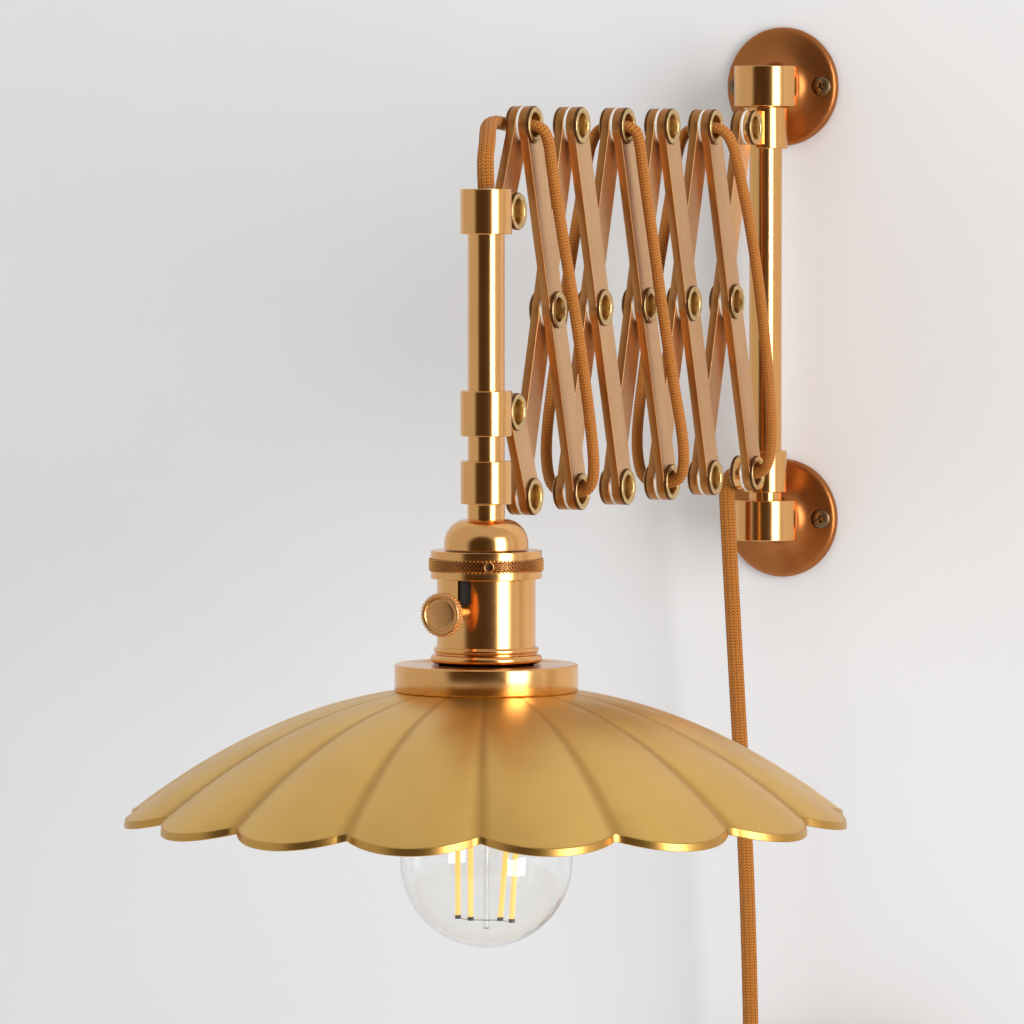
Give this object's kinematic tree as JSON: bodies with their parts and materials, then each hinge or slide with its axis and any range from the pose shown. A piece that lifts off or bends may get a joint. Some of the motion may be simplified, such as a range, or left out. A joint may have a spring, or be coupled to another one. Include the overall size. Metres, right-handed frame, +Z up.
{
  "type": "accordion wall lamp",
  "caption": "Wall lamp on a scissor arm between a wall rod and a hanging lampholder with a pleated metal shade, globe bulb and a braided cord threaded through the arm's eyelets.",
  "frame": {"origin": "middle of the four wall screws, on the wall's face", "axes": "+Z up, +Y into the wall, the arm reaches along -Y, near links on the +X side"},
  "size_m": [0.3308, 0.562, 0.6828],
  "materials": {
    "copper_gold": "polished",
    "link_gold": "satin",
    "eyelet_brass": "polished",
    "rose_copper": "satin",
    "screw_bronze": "antique",
    "shade_gold": "satin",
    "socket_black": "matt",
    "plug_black": "matt",
    "bulb_glass": "clear",
    "shell_nickel": "plated",
    "filament_yellow": "coated",
    "cord_fabric": "braided"
  },
  "bodies": {
    "wall_mount": {"wall_roses": "rose_copper", "rod_sockets": "copper_gold", "wall_rod": "copper_gold", "wall_screws": "screw_bronze", "cord_coil": "cord_fabric", "plug": "plug_black"},
    "lower_wall_slide": {"lower_wall_collar": "copper_gold", "cord_hanging": "cord_fabric"},
    "upper_wall_slide": {"upper_wall_collar": "copper_gold", "upper_wall_eyelet": "eyelet_brass"},
    "front_upper_slide": {"front_upper_collar": "copper_gold", "front_upper_eyelet": "eyelet_brass"},
    "front_lower_slide": {"front_lower_collar": "copper_gold"},
    "lamp_head": {"front_tube": "copper_gold", "tube_coupler": "copper_gold", "holder_cap": "copper_gold", "knurled_ring": "copper_gold", "ring_grub_screw": "screw_bronze", "holder_barrel": "copper_gold", "shade_gallery": "copper_gold", "shade": "shade_gold", "socket_body": "socket_black", "socket_thread_shell": "shell_nickel", "bulb_glass": "bulb_glass", "bulb_cap": "shell_nickel", "bulb_filaments": "filament_yellow"},
    "switch": {"switch_knob": "copper_gold"},
    "near_0": {"near_link_0": "link_gold", "near_eyelets_0": "eyelet_brass"},
    "far_0": {"far_link_0": "link_gold", "cord_front": "cord_fabric"},
    "near_1": {"near_link_1": "link_gold", "near_eyelets_1": "eyelet_brass", "cord_near_1": "cord_fabric"},
    "far_1": {"far_link_1": "link_gold"},
    "near_2": {"near_link_2": "link_gold", "near_eyelets_2": "eyelet_brass"},
    "far_2": {"far_link_2": "link_gold", "cord_far_2": "cord_fabric"},
    "near_3": {"near_link_3": "link_gold", "near_eyelets_3": "eyelet_brass", "cord_near_3": "cord_fabric"},
    "far_3": {"far_link_3": "link_gold"},
    "near_4": {"near_link_4": "link_gold", "near_eyelets_4": "eyelet_brass"},
    "far_4": {"far_link_4": "link_gold", "cord_far_4": "cord_fabric"},
    "near_5": {"near_link_5": "link_gold", "near_eyelets_5": "eyelet_brass", "cord_near_5": "cord_fabric"},
    "far_5": {"far_link_5": "link_gold"}
  },
  "joints": [
    {"name": "arm_swing", "type": "hinge", "parent": "wall_mount", "child": "lower_wall_slide", "pos_m": [0, -0.024, -0.08493], "axis": [0, 0, 1], "range_deg": [-64, 64]},
    {"name": "scissor", "type": "hinge", "parent": "lower_wall_slide", "child": "near_5", "pos_m": [0, -0.048, -0.08493], "axis": [1, 0, 0], "range_deg": [0, 40]},
    {"name": "cross_5", "type": "hinge", "parent": "near_5", "child": "far_5", "pos_m": [0, -0.07552, 0.00181], "axis": [1, 0, 0], "range_deg": [-80, 0]},
    {"name": "upper_wall_pivot", "type": "hinge", "parent": "far_5", "child": "upper_wall_slide", "pos_m": [0, -0.048, 0.08855], "axis": [1, 0, 0], "range_deg": [0, 40]},
    {"name": "upper_pivot_4", "type": "hinge", "parent": "near_5", "child": "far_4", "pos_m": [0, -0.10303, 0.08855], "axis": [1, 0, 0], "range_deg": [-80, 0]},
    {"name": "lower_pivot_4", "type": "hinge", "parent": "far_5", "child": "near_4", "pos_m": [0, -0.10303, -0.08493], "axis": [1, 0, 0], "range_deg": [0, 80]},
    {"name": "upper_pivot_3", "type": "hinge", "parent": "near_4", "child": "far_3", "pos_m": [0, -0.15806, 0.08855], "axis": [1, 0, 0], "range_deg": [-80, 0]},
    {"name": "lower_pivot_3", "type": "hinge", "parent": "far_4", "child": "near_3", "pos_m": [0, -0.15806, -0.08493], "axis": [1, 0, 0], "range_deg": [0, 80]},
    {"name": "upper_pivot_2", "type": "hinge", "parent": "near_3", "child": "far_2", "pos_m": [0, -0.21309, 0.08855], "axis": [1, 0, 0], "range_deg": [-80, 0]},
    {"name": "lower_pivot_2", "type": "hinge", "parent": "far_3", "child": "near_2", "pos_m": [0, -0.21309, -0.08493], "axis": [1, 0, 0], "range_deg": [0, 80]},
    {"name": "upper_pivot_1", "type": "hinge", "parent": "near_2", "child": "far_1", "pos_m": [0, -0.26813, 0.08855], "axis": [1, 0, 0], "range_deg": [-80, 0]},
    {"name": "lower_pivot_1", "type": "hinge", "parent": "far_2", "child": "near_1", "pos_m": [0, -0.26813, -0.08493], "axis": [1, 0, 0], "range_deg": [0, 80]},
    {"name": "upper_pivot_0", "type": "hinge", "parent": "near_1", "child": "far_0", "pos_m": [0, -0.32316, 0.08855], "axis": [1, 0, 0], "range_deg": [-80, 0]},
    {"name": "lower_pivot_0", "type": "hinge", "parent": "far_1", "child": "near_0", "pos_m": [0, -0.32316, -0.08493], "axis": [1, 0, 0], "range_deg": [0, 80]},
    {"name": "front_upper_pivot", "type": "hinge", "parent": "far_0", "child": "front_upper_slide", "pos_m": [0, -0.34231, 0.04838], "axis": [1, 0, 0], "range_deg": [0, 40]},
    {"name": "front_lower_pivot", "type": "hinge", "parent": "near_0", "child": "front_lower_slide", "pos_m": [0, -0.34231, -0.04477], "axis": [1, 0, 0], "range_deg": [-40, 0]},
    {"name": "head_swivel", "type": "hinge", "parent": "front_upper_slide", "child": "lamp_head", "pos_m": [0, -0.36631, 0.04838], "axis": [0, 0, 1], "range_deg": [-170, 170]},
    {"name": "switch_turn", "type": "hinge", "parent": "lamp_head", "child": "switch", "pos_m": [0, -0.36631, -0.13537], "axis": [-0.0349, -0.9994, 0], "continuous": true}
  ],
  "couplings": [
    {"joint": "cross_5", "follows": "scissor", "ratio": -2},
    {"joint": "upper_wall_pivot", "follows": "scissor", "ratio": 1},
    {"joint": "upper_pivot_4", "follows": "scissor", "ratio": -2},
    {"joint": "lower_pivot_4", "follows": "scissor", "ratio": 2},
    {"joint": "upper_pivot_3", "follows": "scissor", "ratio": -2},
    {"joint": "lower_pivot_3", "follows": "scissor", "ratio": 2},
    {"joint": "upper_pivot_2", "follows": "scissor", "ratio": -2},
    {"joint": "lower_pivot_2", "follows": "scissor", "ratio": 2},
    {"joint": "upper_pivot_1", "follows": "scissor", "ratio": -2},
    {"joint": "lower_pivot_1", "follows": "scissor", "ratio": 2},
    {"joint": "upper_pivot_0", "follows": "scissor", "ratio": -2},
    {"joint": "lower_pivot_0", "follows": "scissor", "ratio": 2},
    {"joint": "front_upper_pivot", "follows": "scissor", "ratio": 1},
    {"joint": "front_lower_pivot", "follows": "scissor", "ratio": -1}
  ]
}
